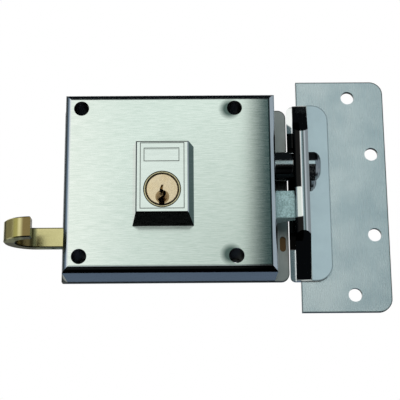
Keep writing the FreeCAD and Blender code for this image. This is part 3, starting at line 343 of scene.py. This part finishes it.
BOLT_ZONES = (
    # Painted shade on the tip, and on the lower side between case and hood.
    (((75.2, 80.0), (-40.0, 0.0), (0.0, 24.0)), 0.5, (0.26, 0.30, 0.33)),
    (((40.0, 68.0), (-40.0, 0.0), (BOLT_AXIS_Z - 9.0, BOLT_AXIS_Z - 1.6)), 0.8, (0.05, 0.05, 0.055)),
)
HOOK_ZONES = (
    # Painted shade on the curl's end, its left edge, and the inside of the bend.
    (((-60.6, -54.0), (-42.0, -30.0), (-40.0, -10.0)), 2.0, (0.20, 0.15, 0.06)),
    (((-65.0, -64.0), (-42.0, -25.0), (-40.0, -10.0)), 1.4, (0.34, 0.31, 0.10)),
    (((-72.0, -60.0), (-26.0, -5.0), (-40.0, -10.0)), 3.0, (0.20, 0.15, 0.06)),
)
# Rings of a turned face, painted shade at the plug's rim and on the cylinder's face: where the tone changes,
# as two radii, and the tone outside.
PLUG_RINGS = (
    (7.0, 7.15, (0.30, 0.22, 0.10)),
)
# The cylinder's face is painted near black as shade in the gap round the plug and on its outer edge; only
# the band from 7.8 to 8.25 mm keeps a metal tone.
CYLINDER_RINGS = (
    (7.70, 7.80, (0.62, 0.55, 0.34)),
    (8.25, 8.35, (0.03, 0.03, 0.02)),
)
# A darker disc at the keyway: X, Z, radius and tone.
PLUG_DISH = (2.6, -12.3, 3.3, (0.36, 0.24, 0.12))

# A metal has its name, light and dark tint, roughness, grain along X, Y and Z, and the grain's bump (mm)
# and roughness. A brushed front has its two tints, then the tint and roughness of its polished sides.
MATERIALS = {
    "case": brushed_front("case_steel", (0.84, 0.90, 0.86), (0.68, 0.76, 0.71), (0.62, 0.68, 0.73), 0.13,
                          CASE_UNDER, shades=CASE_SHADES),
    "bezel": brushed_front("bezel_nickel", (0.82, 0.87, 0.84), (0.74, 0.79, 0.76), (0.50, 0.54, 0.57), 0.05,
                           BEZEL_UNDER, groove=BEZEL_GROOVE_Y),
    # The last colour of a plate is painted shade on its narrow sides and along its outline.
    "sheet": metal("sheet_steel", (0.93, 0.98, 0.99), (0.74, 0.82, 0.85), 0.26, (300, 300, 6), 0.002, 0.06,
                   cloud=55.0, zones=STRIKE_ZONES, outline=STRIKE_OUTLINE, edge_shade=(0.10, 0.12, 0.12)),
    "base": metal("base_steel", (0.36, 0.37, 0.36), (0.28, 0.29, 0.28), 0.30, (300, 300, 6), 0.004, 0.06,
                  zones=BASE_ZONES, outline=BASE_OUTLINE, edge_shade=(0.06, 0.065, 0.065)),
    "polished": metal("polished_steel", (0.84, 0.87, 0.88), (0.76, 0.79, 0.81), 0.07, (20, 20, 20), 0.006,
                      0.04),
    "keeper": metal("keeper_steel", (0.84, 0.87, 0.88), (0.76, 0.79, 0.81), 0.07, (20, 20, 20), 0.004, 0.04,
                    zones=KEEPER_ZONES, outline=KEEPER_OUTLINE, edge_shade=(0.40, 0.42, 0.43)),
    "bolt": metal("bolt_nickel", (0.93, 0.95, 0.95), (0.86, 0.89, 0.90), 0.10, (6, 200, 200), 0.001, 0.04,
                  zones=BOLT_ZONES),
    "casting": metal("latch_casting", (0.56, 0.77, 0.78), (0.27, 0.42, 0.42), 0.46, (90, 90, 90), 0.02, 0.10,
                     cloud=1300.0, metallic=0.5, pits=0.10),
    "bar_brass": metal("bar_brass", (0.70, 0.64, 0.33), (0.58, 0.53, 0.26), 0.22, (8, 160, 260), 0.004, 0.08,
                       zones=HOOK_ZONES),
    "brass": metal("brass", (0.85, 0.70, 0.40), (0.74, 0.58, 0.30), 0.26, (120, 120, 120), 0.004, 0.08),
    "plug_brass": metal("plug_brass", (0.93, 0.84, 0.66), (0.84, 0.72, 0.52), 0.30, (260, 260, 20), 0.006,
                        0.10),
    "plug_face": turned_face("plug_face", PLUG_RINGS, (0.92, 0.76, 0.54), (0.84, 0.66, 0.42), 0.26,
                             dish=PLUG_DISH),
    # Near black tints: painted shade on the cylinder's face outside its one band of metal tone.
    "ring": turned_face("ring_nickel_and_painted_shade", CYLINDER_RINGS, (0.05, 0.04, 0.03), (0.03, 0.025, 0.02), 0.24),
    "steel": metal("blank_steel", (0.58, 0.60, 0.62), (0.46, 0.48, 0.50), 0.32, (14, 260, 260), 0.006, 0.10),
    # Near black: painted shade inside the screw holes, laid on the screw sleeves.
    "black": metal("sleeve_steel_painted_shade", (0.045, 0.045, 0.045), (0.02, 0.02, 0.02), 0.5, (90, 90, 90), 0.006,
                   0.10, metallic=0.6),
    "zinc": metal("zinc_plate", (0.70, 0.72, 0.74), (0.56, 0.58, 0.61), 0.28, (90, 90, 90), 0.006, 0.10),
    "spring": metal("spring_steel", (0.42, 0.43, 0.46), (0.30, 0.31, 0.33), 0.30, (90, 90, 90), 0.006, 0.10),
}

NODE_MATERIAL = {
    "case_cover": "case", "base_plate": "base", "bezel": "bezel", "bezel_screws": "zinc",
    "inner_cylinder": "ring", "inner_plug": "plug_face", "inner_plug_clip": "spring",
    "inner_key_pins": "brass", "inner_driver_pins": "plug_brass", "drive_pinion": "steel",
    "pinion_bearing": "brass", "outer_cylinder": "brass", "outer_rosette": "polished",
    "outer_screws": "zinc", "outer_plug": "plug_brass", "outer_plug_clip": "spring",
    "outer_tail_bar": "steel", "outer_key_pins": "brass", "outer_driver_pins": "plug_brass",
    "screw_sleeves": "black", "bolt_guide": "brass", "guide_screws": "zinc", "spacer_post": "case",
    "guide_post": "zinc", "deadbolt": "bolt", "bolt_carriage": "steel", "carriage_rivets": "zinc",
    "latch_head": "casting", "latch_link": "steel", "link_rivets": "zinc", "pull_bar": "bar_brass",
    "latch_spring": "spring", "spring_rod": "zinc", "spring_anchor": "steel", "strike_plate": "sheet",
    "keeper": "keeper", "keeper_rivets": "zinc",
}

for name, key in NODE_MATERIAL.items():
    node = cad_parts[name]
    for slot in node.material_slots:
        slot.material = MATERIALS[key]
    if not node.material_slots:
        node.data.materials.append(MATERIALS[key])


# The floor, the light and the camera's near limit are in metres.
FLOOR_HALF = 1.6
FLOOR_Z = -0.36
FLOOR_COLOUR = (0.82, 0.82, 0.81, 1.0)
FLOOR_ROUGH = 0.9


def build_floor():
    corners = [(-FLOOR_HALF, -FLOOR_HALF), (FLOOR_HALF, -FLOOR_HALF),
               (FLOOR_HALF, FLOOR_HALF), (-FLOOR_HALF, FLOOR_HALF)]
    mesh = bpy.data.meshes.new("floor")
    mesh.from_pydata([(x, y, FLOOR_Z) for x, y in corners], [], [(0, 1, 2, 3)])
    floor = bpy.data.objects.new("floor", mesh)
    bpy.context.scene.collection.objects.link(floor)
    material = bpy.data.materials.new("floor_paper")
    material.use_nodes = True
    shader = material.node_tree.nodes["Principled BSDF"]
    shader.inputs["Base Color"].default_value = FLOOR_COLOUR
    shader.inputs["Roughness"].default_value = FLOOR_ROUGH
    floor.data.materials.append(material)
    floor.visible_glossy = False


# Light panels of the studio as the metal reflects them: bands of the direction's X, Y and Z, and the light.
# A later row covers an earlier one. In Y most lie before the front, and some behind it.
BEFORE = (-1.1, -1.0, -0.30, -0.12)
BEFORE_DEEP = (-1.1, -1.0, -0.3, -0.1)
FAR_BEFORE = (-1.1, -1.0, -0.50, -0.35)
BEHIND = (0.30, 0.60, 1.0, 1.1)
BROAD = (-1.1, -1.0, 0.5, 0.8)
LOW = (-1.1, -1.0, 0.02, 0.12)
SIDE_LOW = (-0.80, -0.65, -0.14, -0.05)
PANEL_HEIGHT = (0.02, 0.12, 0.42, 0.58)
MAIN_HEIGHT = (0.02, 0.12, 0.50, 0.62)
AMBIENT = (0.005, 0.006, 0.007)
STUDIO = (
    # Low panels for views from above, with a dark patch that the bezel's lower slope picks up.
    ((-2.0, -1.9, 0.036, 0.062), FAR_BEFORE, LOW, (0.52, 0.56, 0.54)),
    ((0.25, 0.40, 1.0, 1.1), FAR_BEFORE, LOW, (0.45, 0.50, 0.50)),
    ((-0.18, -0.12, 0.10, 0.16), FAR_BEFORE, (-0.62, -0.56, -0.40, -0.34), AMBIENT),
    # The dark green end of the front, and the panel on the left.
    ((0.050, 0.056, 0.080, 0.096), BEFORE, PANEL_HEIGHT, (0.042, 0.082, 0.086)),
    ((-1.1, -1.0, -0.80, -0.60), (-0.40, -0.20, 0.50, 0.70), (-0.30, 0.0, 0.45, 0.60), (0.26, 0.25, 0.20)),
    # The main panel, brighter on its left.
    ((-2.0, -1.9, 0.040, 0.065), BEFORE, MAIN_HEIGHT, (0.88, 0.95, 0.91)),
    ((-2.0, -1.9, -0.14, -0.04), BEFORE, MAIN_HEIGHT, (1.06, 1.06, 1.02)),
    # Right of it a dim, a brighter and a side panel.
    ((0.17, 0.22, 0.42, 0.55), BEFORE_DEEP, PANEL_HEIGHT, (0.13, 0.18, 0.18)),
    ((0.080, 0.096, 0.205, 0.255), BEFORE_DEEP, PANEL_HEIGHT, (0.44, 0.56, 0.59)),
    ((0.50, 0.62, 1.0, 1.1), (-0.9, -0.8, 0.30, 0.50), (-0.35, 0.0, 0.45, 0.60), (0.50, 0.55, 0.58)),
    # Panels behind, for the bottom wall of the case and the underside of the hook.
    ((-0.60, -0.45, 0.12, 0.30), BEHIND, (-0.34, -0.16, 0.10, 0.30), (0.17, 0.23, 0.31)),
    ((-0.60, -0.45, -0.140, -0.122), BEHIND, (-0.50, -0.30, 0.10, 0.30), (0.22, 0.24, 0.22)),
    # Low side panels, and a faint one behind on the right.
    ((-1.1, -1.0, -0.74, -0.60), BROAD, SIDE_LOW, (0.62, 0.65, 0.66)),
    ((0.60, 0.74, 1.0, 1.1), BROAD, SIDE_LOW, (0.62, 0.65, 0.66)),
    ((0.16, 0.24, 1.0, 1.1), BEHIND, (-0.20, 0.05, 0.50, 0.70), (0.09, 0.13, 0.13)),
)
# The part of the white backdrop that glossy and transmitted rays meet too.
BACKDROP = ((-0.60, -0.45, 0.10, 0.20), BEHIND, (0.05, 0.15, 0.60, 0.80))
WHITE = (1.0, 1.0, 1.0, 1.0)
SOFT_LIGHT = (0.90, 0.93, 0.95)


def build_world():
    """A dark studio with light panels for the metal, soft light for matt faces, white for the camera."""
    world = bpy.data.worlds.new("studio")
    bpy.context.scene.world = world
    world.use_nodes = True
    tree = world.node_tree
    tree.nodes.clear()
    direction = split_axes(tree, tree.nodes.new("ShaderNodeTexCoord").outputs["Generated"])
    rays = tree.nodes.new("ShaderNodeLightPath").outputs
    total = AMBIENT
    for *bands, light in STUDIO:
        total = blend_colour(tree, inside_bands(tree, direction, bands), total, light)
    total = blend_colour(tree, rays["Is Diffuse Ray"], total, SOFT_LIGHT)
    studio = tree.nodes.new("ShaderNodeBackground")
    tree.links.new(total, studio.inputs["Color"])
    white = tree.nodes.new("ShaderNodeBackground")
    white.inputs["Color"].default_value = WHITE
    seen = calc(tree, "MAXIMUM", rays["Is Glossy Ray"], rays["Is Transmission Ray"])
    seen = calc(tree, "MULTIPLY", seen, inside_bands(tree, direction, BACKDROP))
    seen = calc(tree, "MAXIMUM", seen, rays["Is Camera Ray"])
    mix = tree.nodes.new("ShaderNodeMixShader")
    for socket, source in zip(mix.inputs, (seen, studio.outputs[0], white.outputs[0])):
        tree.links.new(source, socket)
    out = tree.nodes.new("ShaderNodeOutputWorld")
    tree.links.new(mix.outputs[0], out.inputs[0])


KEY_PLACE = (-0.45, -0.95, 0.55)
KEY_TARGET = (0.02, 0.0, 0.0)
KEY_SIZE = (0.9, 0.6)
KEY_POWER = 3.0


def build_key_light():
    data = bpy.data.lights.new("key", "AREA")
    data.shape = "RECTANGLE"
    data.size, data.size_y = KEY_SIZE
    data.energy = KEY_POWER
    lamp = bpy.data.objects.new("key", data)
    lamp.location = KEY_PLACE
    lamp.visible_glossy = False
    aim = Vector(KEY_TARGET) - Vector(KEY_PLACE)
    lamp.rotation_euler = aim.to_track_quat("-Z", "Y").to_euler()
    bpy.context.scene.collection.objects.link(lamp)


CAMERA_PLACE = (17.2743, -535.7686, -142.8036)
CAMERA_ANGLES = (0.27468, 14.72604, -0.43847)
CAMERA_LENS = 100.991
SENSOR_WIDTH = 36.0
CLIP_START = 0.01


def build_camera():
    """The camera's angles are azimuth, elevation and roll in degrees, and its place is in mm."""
    azimuth, elevation, roll = (math.radians(angle) for angle in CAMERA_ANGLES)
    forward = Vector((math.sin(azimuth) * math.cos(elevation), math.cos(azimuth) * math.cos(elevation),
                      math.sin(elevation)))
    side = Vector((math.cos(azimuth), -math.sin(azimuth), 0.0))
    up = side.cross(forward)
    right = math.cos(roll) * side + math.sin(roll) * up
    up = right.cross(forward)
    data = bpy.data.cameras.new("camera")
    data.lens = CAMERA_LENS
    data.sensor_width = SENSOR_WIDTH
    data.clip_start = CLIP_START
    camera = bpy.data.objects.new("camera", data)
    place = Vector(CAMERA_PLACE) * MM
    back = -forward
    camera.matrix_world = Matrix(((right.x, up.x, back.x, place.x), (right.y, up.y, back.y, place.y),
                                  (right.z, up.z, back.z, place.z), (0, 0, 0, 1)))
    bpy.context.scene.collection.objects.link(camera)
    bpy.context.scene.camera = camera


build_floor()
build_world()
build_key_light()
build_camera()
bpy.context.scene.view_settings.view_transform = "Standard"

bpy.context.view_layer.update()
